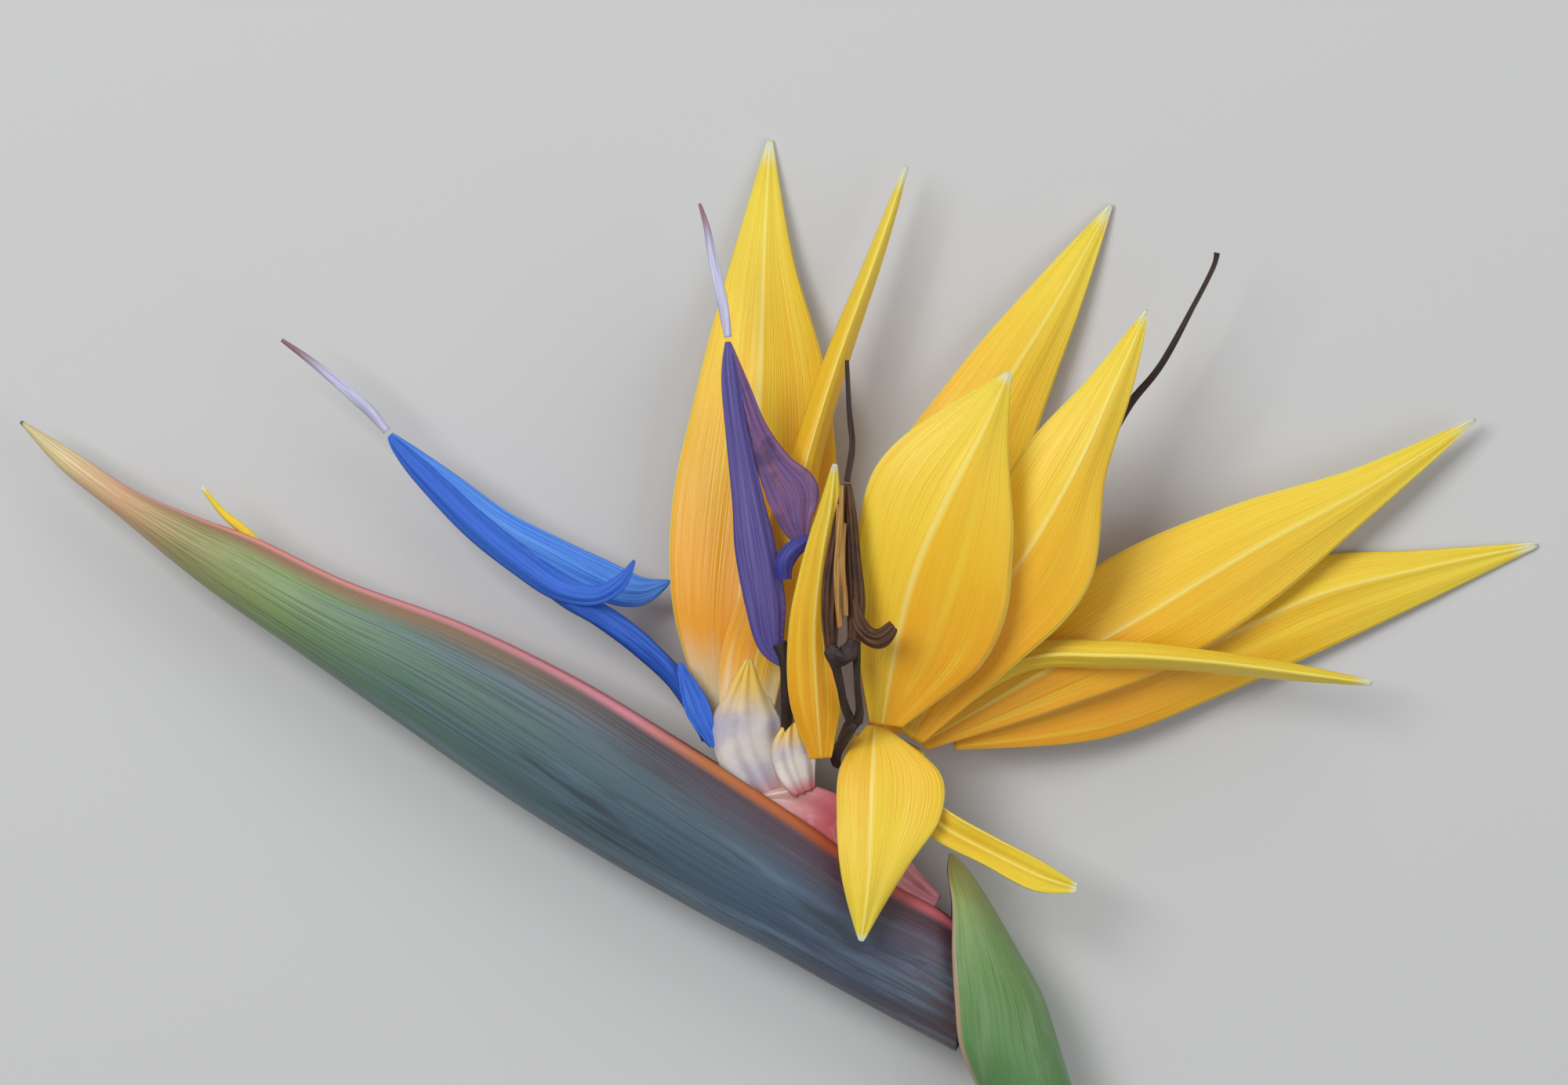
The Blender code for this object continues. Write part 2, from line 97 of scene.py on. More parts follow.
# x, y, z, half width to the left of the direction of growth, half width to its right,
# drop of the edges below the rib
BLADES = {
    "sepal_1_tall": (
        (-9.6, -29.4, 10.8, 2.4, 2.4, 0.3),
        (-7.5, -12.3, 13.6, 10.0, 10.0, 1.6),
        (-5.0, 6.5, 12.0, 12.7, 13.2, 2.0),
        (-3.9, 25.3, 9.0, 9.9, 11.1, 2.0),
        (-3.2, 45.3, 5.0, 5.0, 4.6, 1.4),
        (-2.3, 64.6, 0.6, 0.3, 0.3, 0.0),
    ),
    "sepal_1_narrow": (
        (-6.6, -30.4, 15.4, 3.4, 4.0, 0.2),
        (-4.4, -18.5, 17.4, 5.6, 4.6, 1.0),
        (0.0, -3.5, 18.4, 4.7, 3.5, 2.0),
        (3.5, 12.8, 18.2, 2.4, 2.2, 3.6),
        (8.5, 29.0, 16.0, 1.9, 1.7, 4.0),
        (14.5, 45.3, 12.5, 1.2, 1.1, 2.4),
        (19.6, 60.1, 9.0, 0.3, 0.3, 0.0),
    ),
    "sepal_2_short": (
        (5.9, -34.2, 21.0, 1.8, 1.6, 0.2),
        (5.2, -24.8, 24.4, 4.2, 3.9, 1.0),
        (4.8, -13.5, 26.4, 4.0, 3.0, 1.4),
        (5.8, -3.5, 27.4, 3.0, 2.0, 1.4),
        (7.3, 5.2, 28.0, 1.7, 1.4, 1.0),
        (8.0, 12.4, 28.0, 0.3, 0.3, 0.0),
    ),
    "sepal_2_front": (
        (15.6, -28.8, 20.2, 2.0, 3.2, 0.3),
        (17.4, -17.5, 24.4, 5.8, 13.4, 1.2),
        (20.6, -4.8, 28.0, 9.8, 15.6, 1.8),
        (25.6, 6.5, 30.4, 12.6, 12.1, 2.0),
        (31.5, 17.8, 32.0, 7.2, 4.2, 1.5),
        (35.5, 26.9, 33.0, 0.3, 0.3, 0.0),
    ),
    "sepal_2_back": (
        (15.8, -31.2, 12.5, 1.9, 2.0, 0.2),
        (18.8, -11.0, 10.2, 8.0, 8.0, 1.5),
        (25.0, 5.2, 9.0, 10.6, 10.0, 2.0),
        (33.7, 22.7, 7.4, 7.8, 8.1, 2.0),
        (43.1, 37.7, 4.6, 5.0, 4.2, 1.4),
        (52.5, 54.2, 0.6, 0.3, 0.3, 0.0),
    ),
    "sepal_3_upright": (
        (20.2, -31.0, 15.5, 1.8, 2.0, 0.2),
        (29.4, -14.8, 20.8, 7.0, 8.7, 1.2),
        (38.8, -1.0, 24.0, 8.5, 11.0, 1.8),
        (46.9, 12.8, 25.8, 8.5, 4.6, 1.8),
        (52.5, 25.3, 25.6, 3.8, 2.8, 1.4),
        (57.6, 36.9, 24.0, 0.3, 0.3, 0.0),
    ),
    "sepal_3_droop": (
        (14.4, -29.2, 18.3, 1.4, 1.2, 0.2),
        (14.0, -36.0, 22.4, 10.6, 5.0, 1.0),
        (13.7, -43.5, 24.6, 11.2, 5.4, 1.2),
        (13.5, -51.0, 26.0, 6.0, 4.6, 1.4),
        (13.0, -57.2, 26.2, 2.7, 2.9, 1.2),
        (12.2, -63.1, 25.6, 0.3, 0.3, 0.0),
    ),
    "sepal_3_channel": (
        (16.6, -35.4, 18.2, 1.2, 1.2, -0.2),
        (20.4, -40.4, 20.4, 1.8, 1.8, -0.4),
        (25.0, -45.0, 21.0, 2.6, 2.4, -0.8),
        (32.8, -49.2, 20.6, 2.4, 2.2, -1.0),
        (40.6, -53.0, 20.6, 2.2, 2.4, -0.8),
        (46.5, -54.9, 19.8, 0.7, 0.7, -0.2),
    ),
    "sepal_4_upper": (
        (22.0, -32.0, 12.7, 1.4, 1.2, 0.2),
        (40.6, -21.2, 12.2, 8.0, 6.2, 1.4),
        (57.5, -11.6, 11.6, 10.4, 9.0, 2.0),
        (75.0, -1.0, 9.6, 7.8, 8.6, 2.0),
        (93.1, 8.7, 7.0, 3.6, 3.9, 1.4),
        (110.7, 19.7, 4.0, 0.3, 0.3, 0.0),
    ),
    "sepal_4_lower": (
        (27.0, -31.6, 10.4, 1.5, 1.5, 0.2),
        (48.8, -24.8, 7.4, 7.0, 6.8, 1.4),
        (67.5, -16.6, 5.6, 8.0, 8.3, 2.0),
        (85.0, -8.5, 4.0, 6.0, 8.4, 2.0),
        (103.1, -3.9, 2.2, 2.6, 5.0, 1.0),
        (120.7, -0.4, 0.5, 0.3, 0.3, 0.0),
    ),
    "sepal_4_narrow": (
        (23.2, -28.6, 14.4, 1.2, 1.1, 0.5),
        (37.5, -18.9, 16.4, 1.9, 1.7, 1.6),
        (51.9, -18.0, 18.2, 2.2, 1.9, 3.4),
        (66.2, -18.8, 18.2, 1.6, 1.6, 4.0),
        (80.0, -20.5, 16.4, 1.2, 1.2, 2.8),
        (93.6, -22.4, 14.0, 0.3, 0.3, 0.0),
    ),
    "hood_petal_1": (
        (-11.0, -32.3, 14.8, 0.8, 0.8, 0.1),
        (-12.7, -29.0, 15.0, 1.6, 1.6, 0.2),
        (-14.2, -25.5, 15.0, 1.9, 1.9, 0.3),
        (-16.0, -21.0, 14.8, 0.9, 0.9, 0.1),
        (-16.6, -19.3, 14.6, 0.3, 0.3, 0.0),
    ),
    "inner_bract": (
        (-4.0, -41.5, 15.2, 1.5, 2.0, 0.2),
        (2.0, -44.0, 16.3, 6.0, 1.8, 0.4),
        (9.0, -49.0, 16.6, 7.5, 1.6, 0.4),
        (17.0, -54.5, 15.6, 5.0, 1.4, 0.4),
        (24.0, -58.0, 14.0, 2.0, 1.0, 0.2),
    ),
}

# x, y, z, radius
STALKS = {
    "stem": (
        (59.0, -152.0, 5.2, 5.2),
        (50.6, -125.0, 6.2, 5.1),
        (42.9, -100.0, 8.6, 4.7),
        (40.9, -93.5, 9.5, 4.7),
        (38.0, -85.6, 10.4, 4.8),
        (34.8, -77.6, 11.0, 4.7),
        (30.0, -71.2, 11.0, 4.0),
        (24.0, -67.6, 11.0, 3.2),
    ),
    "pedicel_1": (
        (0.6, -47.4, 10.6, 1.9),
        (-3.6, -41.4, 11.6, 2.6),
        (-6.8, -35.2, 11.8, 3.1),
        (-8.4, -31.0, 11.8, 3.0),
    ),
    "pedicel_2": (
        (7.6, -51.0, 11.0, 1.8),
        (3.8, -43.4, 11.6, 2.4),
        (0.8, -36.8, 12.6, 2.9),
        (0.4, -32.8, 13.8, 2.6),
    ),
    "pedicel_3": (
        (15.6, -56.0, 11.2, 1.8),
        (11.8, -48.4, 11.8, 2.3),
        (10.8, -41.0, 13.0, 2.6),
        (12.0, -35.6, 14.6, 2.8),
        (13.6, -31.4, 15.8, 2.5),
    ),
    "pedicel_4": (
        (19.0, -57.0, 9.6, 1.8),
        (17.6, -50.0, 9.8, 2.3),
        (17.2, -43.4, 10.4, 2.5),
        (18.4, -37.0, 11.4, 2.6),
        (20.4, -32.6, 12.4, 2.2),
    ),
    "bud_5": (
        (-58.0, -20.6, 11.0, 2.0),
        (-71.0, -10.6, 11.0, 1.8),
        (-81.9, -2.0, 11.4, 0.9),
        (-86.3, 2.1, 12.0, 0.8),
        (-89.6, 4.9, 12.2, 0.6),
        (-92.8, 8.8, 12.2, 0.3),
    ),
    "stigma_1": (
        (-63.3, 17.8, 13.1, 0.7),
        (-66.5, 21.5, 13.4, 0.9),
        (-71.3, 25.6, 13.8, 0.8),
        (-76.3, 29.6, 14.2, 0.55),
        (-80.0, 32.3, 14.4, 0.3),
    ),
    "stigma_2": (
        (-8.9, 32.6, 21.8, 0.6),
        (-9.6, 37.5, 21.6, 0.85),
        (-11.4, 45.3, 21.0, 0.75),
        (-12.3, 50.3, 20.4, 0.5),
        (-13.4, 53.8, 19.8, 0.25),
    ),
    "stigma_3": (
        (10.0, 9.6, 31.2, 0.45),
        (10.7, 14.8, 30.6, 0.45),
        (10.4, 20.4, 29.6, 0.4),
        (9.9, 28.8, 28.4, 0.3),
    ),
    "stigma_4": (
        (51.4, 15.3, 16.5, 0.5),
        (55.0, 22.1, 17.0, 0.6),
        (60.0, 28.4, 17.5, 0.5),
        (64.6, 36.5, 17.5, 0.4),
        (68.1, 43.4, 17.0, 0.35),
        (68.8, 46.1, 17.0, 0.45),
    ),
    "stamens_3": (
        (9.2, 3.2, 33.4, 0.4),
        (8.8, -4.8, 33.9, 0.5),
        (9.2, -12.6, 33.7, 0.5),
    ),
}

# Halves of the arrow petals: the same columns as BLADES
HALVES = {
    "nectary_1_near_half": (
        (-23.8, -2.9, 17.4, 0.2, 0.2, 0.0),
        (-26.4, -6.4, 17.0, 1.3, 1.1, 0.4),
        (-30.4, -8.4, 16.2, 1.5, 1.6, 0.8),
        (-36.0, -7.4, 15.6, 1.6, 2.2, 1.4),
        (-41.6, -3.6, 15.2, 1.8, 2.2, 1.6),
        (-49.4, 2.8, 14.8, 2.0, 2.2, 1.6),
        (-57.4, 10.7, 14.2, 1.6, 1.8, 1.2),
        (-61.2, 14.9, 13.6, 1.0, 1.0, 0.6),
        (-62.8, 17.0, 13.2, 0.4, 0.4, 0.0),
    ),
    "nectary_1_far_half": (
        (-18.2, -6.2, 8.8, 0.2, 0.2, 0.0),
        (-23.4, -7.6, 9.8, 2.5, 2.2, 0.6),
        (-29.6, -5.6, 11.0, 3.2, 3.0, 0.8),
        (-37.5, -1.4, 12.0, 3.0, 2.6, 0.8),
        (-45.3, 3.0, 12.6, 2.6, 2.2, 0.8),
        (-53.3, 9.2, 12.8, 2.0, 1.8, 0.6),
        (-58.8, 13.7, 12.9, 1.4, 1.2, 0.4),
        (-62.7, 17.2, 13.0, 0.4, 0.4, 0.0),
    ),
    "nectary_2_left_half": (
        (0.6, -19.4, 22.2, 0.7, 0.7, 0.2),
        (-2.2, -16.0, 23.4, 1.9, 2.2, 0.9),
        (-3.2, -9.5, 24.6, 2.9, 3.4, 1.6),
        (-4.4, -1.0, 24.8, 3.2, 3.0, 1.8),
        (-5.6, 6.5, 24.6, 2.4, 2.3, 1.4),
        (-7.4, 17.5, 24.0, 1.7, 1.6, 1.0),
        (-8.5, 25.9, 23.0, 1.3, 1.2, 0.6),
        (-8.9, 31.8, 22.0, 0.4, 0.4, 0.0),
    ),
    "nectary_2_right_half": (
        (2.9, -0.6, 22.8, 0.7, 0.6, 0.1),
        (2.0, 3.0, 23.0, 2.6, 2.4, 0.3),
        (0.9, 7.6, 23.0, 3.6, 4.6, 0.4),
        (-1.6, 12.2, 22.8, 2.8, 2.8, 0.4),
        (-4.4, 18.0, 22.6, 1.8, 1.7, 0.3),
        (-6.6, 25.0, 22.3, 1.1, 1.0, 0.2),
        (-8.7, 31.4, 22.0, 0.4, 0.4, 0.0),
    ),
    "nectary_2_hook": (
        (0.2, -5.8, 25.2, 1.0, 0.8, 0.6),
        (0.0, -3.4, 25.9, 1.3, 1.3, 1.0),
        (1.2, -1.2, 26.0, 1.2, 1.4, 1.0),
        (3.4, 0.2, 25.2, 0.9, 1.0, 0.5),
        (4.6, 0.5, 24.6, 0.4, 0.4, 0.2),
    ),
    "nectary_3_left_half": (
        (7.4, -17.8, 30.8, 0.8, 0.8, 0.3),
        (7.2, -12.0, 31.6, 1.2, 1.5, 0.8),
        (7.5, -5.0, 31.8, 1.1, 1.3, 0.8),
        (8.6, 3.0, 31.6, 0.9, 0.9, 0.5),
        (9.7, 9.2, 31.2, 0.3, 0.3, 0.0),
    ),
    "nectary_3_right_half": (
        (10.9, -16.4, 30.8, 0.9, 0.9, 0.3),
        (11.3, -9.8, 31.4, 1.3, 1.3, 0.8),
        (10.9, -3.0, 31.6, 1.2, 1.1, 0.8),
        (10.5, 4.0, 31.5, 0.9, 0.8, 0.5),
        (10.1, 9.2, 31.2, 0.3, 0.3, 0.0),
    ),
    "nectary_3_barb": (
        (17.3, -13.2, 32.2, 0.9, 0.9, 0.2),
        (15.2, -14.8, 32.2, 1.9, 1.0, 0.5),
        (13.2, -14.6, 31.8, 1.3, 1.2, 0.5),
        (11.6, -12.6, 31.4, 1.0, 1.2, 0.4),
        (11.0, -9.0, 31.4, 0.5, 0.5, 0.2),
    ),
}
# Fleshy skins round the bases of the first two flowers: the same columns
SKINS = {
    "pedicel_1_skin": (
        (-0.6, -42.6, 14.2, 2.6, 2.6, 0.6),
        (-3.6, -37.6, 15.2, 4.6, 5.4, 1.4),
        (-5.8, -32.4, 16.0, 5.4, 6.0, 1.6),
        (-6.4, -28.2, 16.6, 4.8, 5.6, 1.2),
        (-6.2, -23.6, 17.2, 2.6, 3.6, 0.6),
        (-5.6, -18.6, 17.7, 0.3, 0.5, 0.0),
    ),
    "pedicel_2_skin": (
        (3.2, -39.6, 17.2, 1.8, 1.8, 0.4),
        (1.8, -36.0, 18.4, 3.0, 3.4, 1.2),
        (1.0, -32.4, 18.9, 2.8, 3.6, 1.0),
        (1.2, -28.6, 18.6, 0.8, 1.4, 0.3),
    ),
}
HALF_STALKS = {
    "nectary_1_stalk": (
        (-12.2, -31.4, 11.5, 1.0),
        (-14.4, -26.4, 11.8, 1.4),
        (-17.8, -21.0, 12.0, 1.7),
        (-23.1, -16.0, 12.4, 1.9),
        (-28.8, -12.0, 12.8, 1.9),
        (-34.4, -9.0, 13.2, 1.6),
        (-41.0, -4.6, 13.6, 0.9),
    ),
    "nectary_2_stalk": (
        (0.3, -31.2, 16.9, 0.9),
        (0.5, -25.0, 20.6, 1.0),
        (0.3, -19.0, 22.4, 1.1),
        (-0.8, -16.0, 22.8, 1.3),
    ),
    "nectary_3_lower_stalk": (
        (8.4, -35.4, 17.9, 0.7),
        (8.3, -33.4, 19.6, 0.9),
        (9.2, -31.6, 21.8, 0.9),
        (10.6, -29.2, 24.6, 1.1),
        (11.4, -28.4, 25.4, 0.8),
    ),
    "nectary_3_left_strand": (
        (10.8, -28.6, 25.0, 0.8),
        (9.8, -26.6, 26.6, 0.7),
        (9.0, -23.0, 28.6, 0.6),
        (7.9, -19.0, 30.4, 0.8),
    ),
    "nectary_3_right_strand": (
        (11.6, -28.4, 25.2, 0.8),
        (12.0, -26.2, 26.8, 0.6),
        (11.5, -22.0, 28.8, 0.5),
        (11.5, -16.6, 30.6, 0.7),
    ),
    "nectary_4_surface": (
        (24.2, -25.2, 13.5, 0.7),
        (28.8, -18.5, 14.6, 0.9),
        (33.6, -11.5, 15.2, 1.2),
        (40.0, -2.9, 16.0, 1.7),
        (46.3, 6.5, 16.5, 1.3),
        (51.0, 14.6, 16.5, 0.7),
    ),
    "nectary_3_knob": (
        (6.9, -16.6, 31.0, 1.0),
        (8.4, -17.9, 31.0, 1.5),
        (10.0, -17.6, 31.0, 1.5),
        (11.0, -15.4, 31.2, 1.1),
    ),
}
# x, y of the upper end, y of the lower end, radius
STAMENS = (
    (8.9, 9.0, -12.4, 0.35),
    (8.6, 6.0, -13.4, 0.45),
    (9.5, 3.0, -11.6, 0.35),
)


def along(rows, share):
    """A row at this share of the way from the first station to the last, on a smooth curve."""
    place = min(max(share, 0.0), 1.0) * (len(rows) - 1)
    index = min(int(place), len(rows) - 2)
    rest = place - index
    before = rows[max(index - 1, 0)]
    start, end = rows[index], rows[index + 1]
    after = rows[min(index + 2, len(rows) - 1)]
    return [
        b + 0.5 * rest * (c - a + rest * (2 * a - 5 * b + 4 * c - d + rest * (3 * (b - c) + d - a)))
        for a, b, c, d in zip(before, start, end, after)
    ]


def world(x, y, z):
    return Vector((x - BOX_CENTRE[0], y - BOX_CENTRE[1], z)) * MM


def heading(rows, share):
    """The direction of growth in plan at this share of the length."""
    step = 0.01
    first, last = along(rows, share - step), along(rows, share + step)
    return Vector((last[0] - first[0], last[1] - first[1], 0.0)).normalized()


# ---- materials ----


class Nodes:
    """A short way to write node trees: each method adds a node and returns its output."""

    def __init__(self, name):
        self.material = bpy.data.materials.new(name)
        self.material.use_nodes = True
        self.tree = self.material.node_tree
        self.shader = self.tree.nodes["Principled BSDF"]

    def add(self, kind, **settings):
        node = self.tree.nodes.new(kind)
        for key, value in settings.items():
            setattr(node, key, value)
        return node

    def link(self, value, socket):
        if isinstance(value, bpy.types.NodeSocket):
            self.tree.links.new(value, socket)
        else:
            socket.default_value = value

    def uv(self):
        """Across and along, as two outputs."""
        split = self.add("ShaderNodeSeparateXYZ")
        self.link(self.add("ShaderNodeTexCoord").outputs["UV"], split.inputs[0])
        return split.outputs[0], split.outputs[1]

    def math(self, operation, first, second=0.0):
        node = self.add("ShaderNodeMath", operation=operation)
        self.link(first, node.inputs[0])
        self.link(second, node.inputs[1])
        return node.outputs[0]

    def ramp(self, value, low, high):
        """0 at low to 1 at high, smoothly."""
        node = self.add("ShaderNodeMapRange", interpolation_type="SMOOTHSTEP")
        self.link(value, node.inputs["Value"])
        node.inputs["From Min"].default_value = low
        node.inputs["From Max"].default_value = high
        return node.outputs["Result"]

    def colours(self, value, stops):
        """A colour ramp through (place, colour) stops."""
        node = self.add("ShaderNodeValToRGB")
        self.link(value, node.inputs[0])
        stop = node.color_ramp.elements
        for number, (place, colour) in enumerate(stops):
            element = stop[number] if number < 2 else stop.new(place)
            element.position = place
            element.color = (*colour, 1.0)
        return node.outputs["Color"]

    def mix(self, share, first, second, blend="MIX"):
        node = self.add("ShaderNodeMix", data_type="RGBA", blend_type=blend)
        self.link(share, node.inputs["Factor"])
        for colour, socket in ((first, "A"), (second, "B")):
            from_node = isinstance(colour, bpy.types.NodeSocket)
            self.link(colour if from_node else (*colour, 1.0), node.inputs[socket])
        return node.outputs["Result"]

    def streaks(self, across, length, detail=3.0, seed=0.0):
        """Noise drawn out along the piece."""
        place = self.add("ShaderNodeMapping")
        self.link(self.add("ShaderNodeTexCoord").outputs["UV"], place.inputs["Vector"])
        place.inputs["Scale"].default_value = (across, length, 1.0)
        place.inputs["Location"].default_value = (seed, seed, seed)
        noise = self.add("ShaderNodeTexNoise")
        self.link(place.outputs[0], noise.inputs["Vector"])
        noise.inputs["Scale"].default_value = 1.0
        noise.inputs["Detail"].default_value = detail
        return noise.outputs["Fac"]

    def grain(self, scale, detail=3.0):
        """Noise in the piece's own space, for fine grain and blotches."""
        noise = self.add("ShaderNodeTexNoise")
        self.link(self.add("ShaderNodeTexCoord").outputs["Object"], noise.inputs["Vector"])
        noise.inputs["Scale"].default_value = scale
        noise.inputs["Detail"].default_value = detail
        return noise.outputs["Fac"]

    def finish(self, colour, height, bump, roughness, scatter=0.0):
        """Connects the colour, a bump of this height in metres, and a roughness that follows it."""
        self.link(colour, self.shader.inputs["Base Color"])
        rough = self.add("ShaderNodeMapRange")
        self.link(height, rough.inputs["Value"])
        rough.inputs["To Min"].default_value = roughness - 0.08
        rough.inputs["To Max"].default_value = roughness + 0.1
        self.link(rough.outputs["Result"], self.shader.inputs["Roughness"])
        node = self.add("ShaderNodeBump")
        node.inputs["Distance"].default_value = bump
        node.inputs["Strength"].default_value = 0.6
        self.link(height, node.inputs["Height"])
        self.link(node.outputs["Normal"], self.shader.inputs["Normal"])
        if scatter:
            self.shader.inputs["Subsurface Weight"].default_value = scatter
            self.shader.inputs["Subsurface Radius"].default_value = (1.0, 0.55, 0.1)
            self.shader.inputs["Subsurface Scale"].default_value = 0.002
        return self.material


PALE_TIP = (0.88, 0.86, 0.55)
LIGHT_YELLOW = (0.97, 0.70, 0.05)
MID_YELLOW = (0.94, 0.50, 0.006)
ORANGE = (0.92, 0.36, 0.002)
CREAM = (0.86, 0.74, 0.50)


def sepal_material(name, white_base=0.0, painted_lighting_left=0.0, painted_lighting_right=0.0, painted_lighting=0.0, seed=0.0):
    """Yellow sepal: orange towards its base, a painted highlight along the rib, painted rim glow
    along both margins, fine veins and a pale tip; painted lighting makes the whole sepal, or one
    face of its fold, paler.
    """
    n = Nodes(name)
    across, up = n.uv()
    colour = n.colours(up, ((0.0, ORANGE), (0.22, ORANGE), (0.5, MID_YELLOW), (0.9, LIGHT_YELLOW)))
    # Painted lighting: the whole sepal, and the left or right face of its fold, mixed towards
    # LIGHT_YELLOW where it is lit.
    colour = n.mix(painted_lighting, colour, LIGHT_YELLOW)
    left = n.math("MULTIPLY", n.ramp(across, 0.54, 0.44), painted_lighting_left)
    colour = n.mix(left, colour, LIGHT_YELLOW)
    right = n.math("MULTIPLY", n.ramp(across, 0.46, 0.56), painted_lighting_right)
    colour = n.mix(right, colour, LIGHT_YELLOW)
    veins = n.streaks(70.0, 2.2, 2.0, seed)
    colour = n.mix(n.math("MULTIPLY", n.ramp(veins, 0.46, 0.72), 0.35), colour, ORANGE)
    broad = n.streaks(9.0, 1.6, 3.0, seed + 4.0)
    colour = n.mix(n.math("MULTIPLY", n.ramp(broad, 0.5, 0.7), 0.5), colour, LIGHT_YELLOW)
    off_rib = n.math("ABSOLUTE", n.math("SUBTRACT", across, 0.5))
    # Painted highlight along the rib, and painted rim glow from back lighting along both margins.
    colour = n.mix(n.math("MULTIPLY", n.ramp(off_rib, 0.035, 0.0), 0.6), colour, (0.98, 0.80, 0.25))
    colour = n.mix(n.math("MULTIPLY", n.ramp(off_rib, 0.475, 0.5), 0.5), colour, (0.97, 0.78, 0.20))
    colour = n.mix(n.ramp(up, 0.93, 0.985), colour, PALE_TIP)
    if white_base:
        edge = n.math("ADD", up, n.math("MULTIPLY", n.streaks(6.0, 3.0, 3.0, seed), 0.14))
        colour = n.mix(n.ramp(edge, white_base + 0.16, white_base), colour, CREAM)
    return n.finish(colour, veins, 0.00025, 0.42, 0.35)


def spathe_material():
    n = Nodes("spathe_skin")
    across, up = n.uv()
    colour = n.colours(
        up,
        (
            (0.0, (0.80, 0.72, 0.36)),
            (0.07, (0.85, 0.66, 0.34)),
            (0.15, (0.72, 0.42, 0.22)),
            (0.24, (0.36, 0.33, 0.12)),
            (0.35, (0.22, 0.32, 0.11)),
            (0.44, (0.11, 0.20, 0.14)),
            (0.56, (0.075, 0.13, 0.15)),
            (0.74, (0.07, 0.11, 0.17)),
            (0.88, (0.065, 0.07, 0.11)),
            (1.0, (0.10, 0.045, 0.045)),
        ),
    )
    streaks = n.streaks(150.0, 7.0, 3.0)
    patches = n.streaks(16.0, 5.0, 4.0, 3.0)
    low = n.ramp(up, 0.3, 0.5)
    # Painted reflection: a bluish sky sheen in patches, from about a third of the spathe's length
    # onwards.
    bloom_and_painted_sheen = n.math("MULTIPLY", n.ramp(patches, 0.45, 0.68), low)
    colour = n.mix(n.math("MULTIPLY", bloom_and_painted_sheen, 0.55), colour, (0.16, 0.23, 0.31))
    shade = n.math("MULTIPLY", n.ramp(n.streaks(26.0, 9.0, 4.0, 9.0), 0.55, 0.7), low)
    colour = n.mix(n.math("MULTIPLY", shade, 0.6), colour, (0.028, 0.03, 0.045))
    fine = n.math("MULTIPLY", n.ramp(streaks, 0.48, 0.64), 0.6)
    colour = n.mix(fine, colour, (0.045, 0.07, 0.065))
    from_keel = n.math("ABSOLUTE", n.math("SUBTRACT", across, 0.5))
    wine = n.math("MULTIPLY", n.ramp(from_keel, 0.30, 0.44), n.ramp(up, 0.35, 0.75))
    colour = n.mix(n.math("MULTIPLY", wine, 0.75), colour, (0.085, 0.03, 0.04))
    tan = n.math("MULTIPLY", n.ramp(from_keel, 0.36, 0.44), n.ramp(up, 0.12, 0.3))
    colour = n.mix(n.math("MULTIPLY", tan, n.ramp(up, 0.62, 0.4)), colour, (0.30, 0.18, 0.10))
    pink = n.math("MULTIPLY", n.ramp(from_keel, 0.445, 0.478), n.ramp(up, 0.05, 0.16))
    rim = n.colours(
        up,
        (
            (0.3, (0.78, 0.30, 0.26)),
            (0.58, (0.72, 0.28, 0.33)),
            (0.64, (0.52, 0.17, 0.05)),
            (0.76, (0.42, 0.08, 0.03)),
            (0.9, (0.60, 0.14, 0.16)),
        ),
    )
    colour = n.mix(pink, colour, rim)
    colour = n.mix(n.ramp(up, 0.012, 0.0), colour, (0.10, 0.03, 0.02))
    return n.finish(colour, streaks, 0.0002, 0.42)


def sheath_material():
    n = Nodes("sheath_green")
    across, up = n.uv()
    colour = n.colours(
        up,
        (
            (0.0, (0.50, 0.44, 0.12)),
            (0.14, (0.33, 0.36, 0.10)),
            (0.35, (0.17, 0.30, 0.09)),
            (0.7, (0.11, 0.25, 0.08)),
            (1.0, (0.09, 0.21, 0.07)),
        ),
    )
    veins = n.streaks(120.0, 3.0, 2.0)
    colour = n.mix(n.math("MULTIPLY", n.ramp(veins, 0.5, 0.7), 0.5), colour, (0.06, 0.15, 0.05))
    bloom_and_painted_sheen = n.streaks(14.0, 4.0, 3.0, 5.0)
    colour = n.mix(n.math("MULTIPLY", n.ramp(bloom_and_painted_sheen, 0.5, 0.7), 0.35), colour, (0.26, 0.38, 0.22))
    edge = n.math("ABSOLUTE", n.math("SUBTRACT", across, 0.5))
    colour = n.mix(n.ramp(edge, 0.47, 0.495), colour, (0.50, 0.33, 0.22))
    return n.finish(colour, veins, 0.0003, 0.42)


def stem_material():
    n = Nodes("stem_green")
    across, up = n.uv()
    veins = n.streaks(40.0, 4.0, 2.0)
    colour = n.mix(n.ramp(veins, 0.42, 0.68), (0.15, 0.28, 0.09), (0.08, 0.17, 0.05))
    patches = n.math("MULTIPLY", n.ramp(n.grain(90.0), 0.5, 0.7), 0.4)
    colour = n.mix(patches, colour, (0.24, 0.33, 0.14))
    return n.finish(colour, veins, 0.0003, 0.42)


def cut_material():
    """The cut face of the stalk: pale pith with the ends of its fibres."""
    n = Nodes("stem_cut")
    cells = n.add("ShaderNodeTexVoronoi")
    n.link(n.add("ShaderNodeTexCoord").outputs["Object"], cells.inputs["Vector"])
    cells.inputs["Scale"].default_value = 1300.0
    edges = n.ramp(cells.outputs["Distance"], 0.1, 0.5)
    colour = n.mix(edges, (0.30, 0.34, 0.14), (0.62, 0.66, 0.40))
    return n.finish(colour, cells.outputs["Distance"], 0.0002, 0.55)


